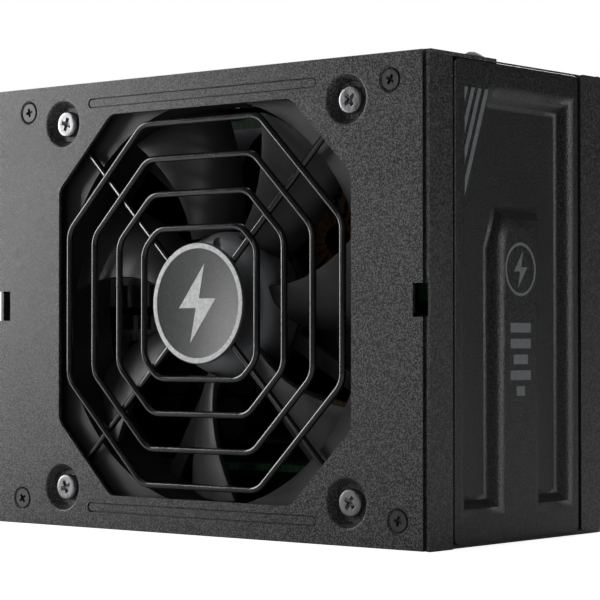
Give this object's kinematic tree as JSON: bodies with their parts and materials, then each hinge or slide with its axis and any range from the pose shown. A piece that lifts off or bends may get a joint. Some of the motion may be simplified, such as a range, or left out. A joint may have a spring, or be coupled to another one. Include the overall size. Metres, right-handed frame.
{
  "type": "power supply unit",
  "caption": "Compact steel-cased computer power supply with a fan behind a wire grille, embossed sides, mains inlet, rocker switch and modular cable sockets.",
  "frame": {"origin": "centre of the case's footprint on the socket end, the face it stands on", "axes": "+Z from the cable-socket end to the mains end, -Y out through the fan, X along the long side"},
  "size_m": [0.125, 0.0636, 0.1028],
  "materials": {
    "case_paint": "fine textured black powder coat",
    "panel_paint": "fine textured black powder coat",
    "black_screws": "black zinc",
    "bright_screws": "nickel plated steel",
    "grille_wire": "gloss black on steel wire",
    "badge": "printed aluminium",
    "fan_plastic": "satin black moulding",
    "bronze": "sintered bronze",
    "laminations": "silicon steel",
    "magnet": "bonded ferrite",
    "copper": "enamelled copper",
    "board": "green solder mask",
    "steel": "ground steel",
    "tinned": "tinned brass",
    "wire_cover": "flexible plastic",
    "white_plug": "natural nylon",
    "black_plastic": "black moulding",
    "rocker_plastic": "polished black",
    "brass": "turned brass",
    "sheet_plastic": "polyester film",
    "capacitor_sleeve": "shrink sleeve",
    "ferrite": "sintered ferrite",
    "yellow_tape": "polyester tape",
    "yellow_case": "potted case",
    "fuse_glass": "ceramic tube",
    "relay_case": "moulded case",
    "chip_case": "epoxy case",
    "heatsink": "extruded aluminium"
  },
  "bodies": {
    "case": {"base_shell": "case_paint", "right_side_panel": "panel_paint", "left_side_panel": "panel_paint", "fan_cover": "case_paint", "cover_screws": "black_screws", "tab_screws": "black_screws", "fan_grille": "grille_wire", "grille_badge": "badge", "fan_screws": "bright_screws", "fan_frame": "fan_plastic", "fan_bush": "bronze", "fan_stator": "laminations", "fan_coils": "copper", "fan_board": "board", "fan_lead": "wire_cover", "fan_plug": "white_plug", "inlet_housing": "black_plastic", "inlet_pins": "tinned", "switch_housing": "black_plastic", "switch_terminals": "tinned", "mains_wires": "wire_cover", "earth_screw": "bright_screws", "main_board": "board", "board_standoffs": "brass", "board_screws": "bright_screws", "insulating_sheet": "sheet_plastic", "bulk_capacitor": "capacitor_sleeve", "output_capacitors": "capacitor_sleeve", "transformer_core": "ferrite", "transformer_winding": "yellow_tape", "pfc_choke_core": "ferrite", "pfc_choke_winding": "copper", "filter_core": "ferrite", "filter_winding": "copper", "filter_capacitors": "yellow_case", "mains_fuse": "fuse_glass", "inrush_relay": "relay_case", "bridge_rectifier": "chip_case", "primary_heatsink": "heatsink", "power_transistors": "chip_case", "secondary_heatsink": "heatsink", "converter_board": "board", "converter_chokes": "chip_case", "control_board": "board", "standby_transformer": "yellow_tape", "socket_board": "board", "bus_bars": "copper", "main_sockets": "black_plastic", "power_sockets": "black_plastic", "drive_sockets": "black_plastic", "socket_pins": "tinned", "fan_baffle": "black_plastic"},
    "rotor": {"fan_rotor": "fan_plastic", "rotor_cup": "laminations", "rotor_magnet": "magnet", "fan_shaft": "steel"},
    "rocker": {"power_rocker": "rocker_plastic"}
  },
  "joints": [
    {"name": "fan_spin", "type": "hinge", "parent": "case", "child": "rotor", "pos_m": [0, -0.02, 0.05], "axis": [0, 1, 0], "continuous": true},
    {"name": "switch_tilt", "type": "hinge", "parent": "case", "child": "rocker", "pos_m": [0.008, 0.004, 0.0975], "axis": [0, -1, 0], "range_deg": [0, 16]}
  ]
}
